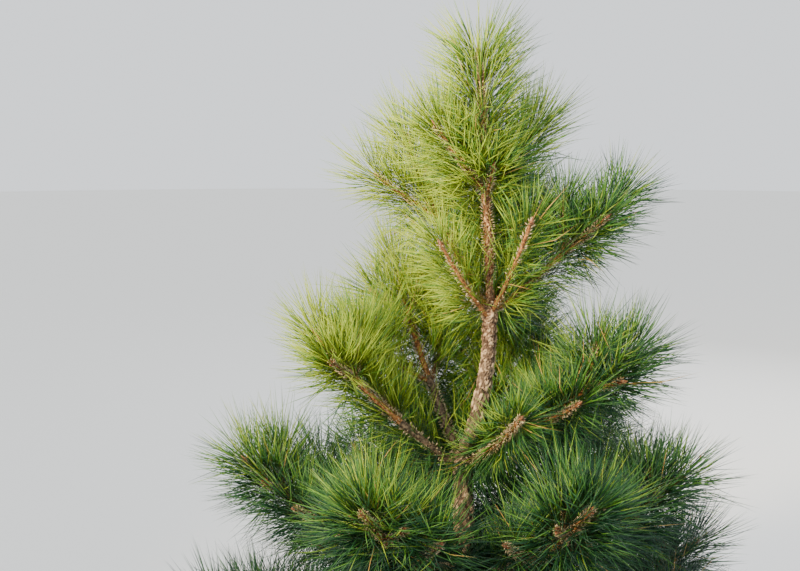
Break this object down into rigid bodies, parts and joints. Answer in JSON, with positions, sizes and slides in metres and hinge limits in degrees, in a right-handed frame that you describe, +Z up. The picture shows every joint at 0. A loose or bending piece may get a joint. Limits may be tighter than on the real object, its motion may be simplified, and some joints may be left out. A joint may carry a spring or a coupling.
{
  "type": "young pine tree",
  "caption": "Young black pine rooted in the ground, with a leaning stem, whorls of upswept boughs and open brushes of long needles on every shoot.",
  "frame": {"origin": "middle of the flat cut under the trunk, at ground level", "axes": "+Z up the tree, +X to the right and +Y away from the viewer in the picture"},
  "size_m": [1.2635, 1.2392, 1.7931],
  "materials": {
    "bark": "rough grey-brown scaly bark",
    "bough_bark": "orange-brown young bark with leaf scars",
    "needles": "satin green needles, yellower where the sun reaches"
  },
  "bodies": {
    "root": {"trunk": "bark", "needles_leader": "needles", "bough_skirt_1": "bough_bark", "needles_skirt_1": "needles", "bough_skirt_2": "bough_bark", "needles_skirt_2": "needles", "bough_skirt_3": "bough_bark", "needles_skirt_3": "needles", "bough_skirt_4": "bough_bark", "needles_skirt_4": "needles", "bough_base_1": "bough_bark", "needles_base_1": "needles", "bough_base_2": "bough_bark", "needles_base_2": "needles", "bough_base_3": "bough_bark", "needles_base_3": "needles", "bough_base_4": "bough_bark", "needles_base_4": "needles", "bough_base_5": "bough_bark", "needles_base_5": "needles", "bough_base_6": "bough_bark", "needles_base_6": "needles", "bough_lower_1": "bough_bark", "needles_lower_1": "needles", "bough_lower_2": "bough_bark", "needles_lower_2": "needles", "bough_lower_3": "bough_bark", "needles_lower_3": "needles", "bough_lower_4": "bough_bark", "needles_lower_4": "needles", "bough_lower_5": "bough_bark", "needles_lower_5": "needles", "bough_lower_6": "bough_bark", "needles_lower_6": "needles", "bough_middle_1": "bough_bark", "needles_middle_1": "needles", "bough_middle_2": "bough_bark", "needles_middle_2": "needles", "bough_middle_3": "bough_bark", "needles_middle_3": "needles", "bough_middle_4": "bough_bark", "needles_middle_4": "needles", "bough_middle_5": "bough_bark", "needles_middle_5": "needles", "bough_upper_1": "bough_bark", "needles_upper_1": "needles", "bough_upper_2": "bough_bark", "needles_upper_2": "needles", "bough_upper_3": "bough_bark", "needles_upper_3": "needles", "bough_upper_4": "bough_bark", "needles_upper_4": "needles", "bough_upper_5": "bough_bark", "needles_upper_5": "needles", "needles_top_1": "needles", "needles_top_2": "needles", "needles_top_3": "needles", "needles_top_4": "needles"}
  },
  "joints": []
}
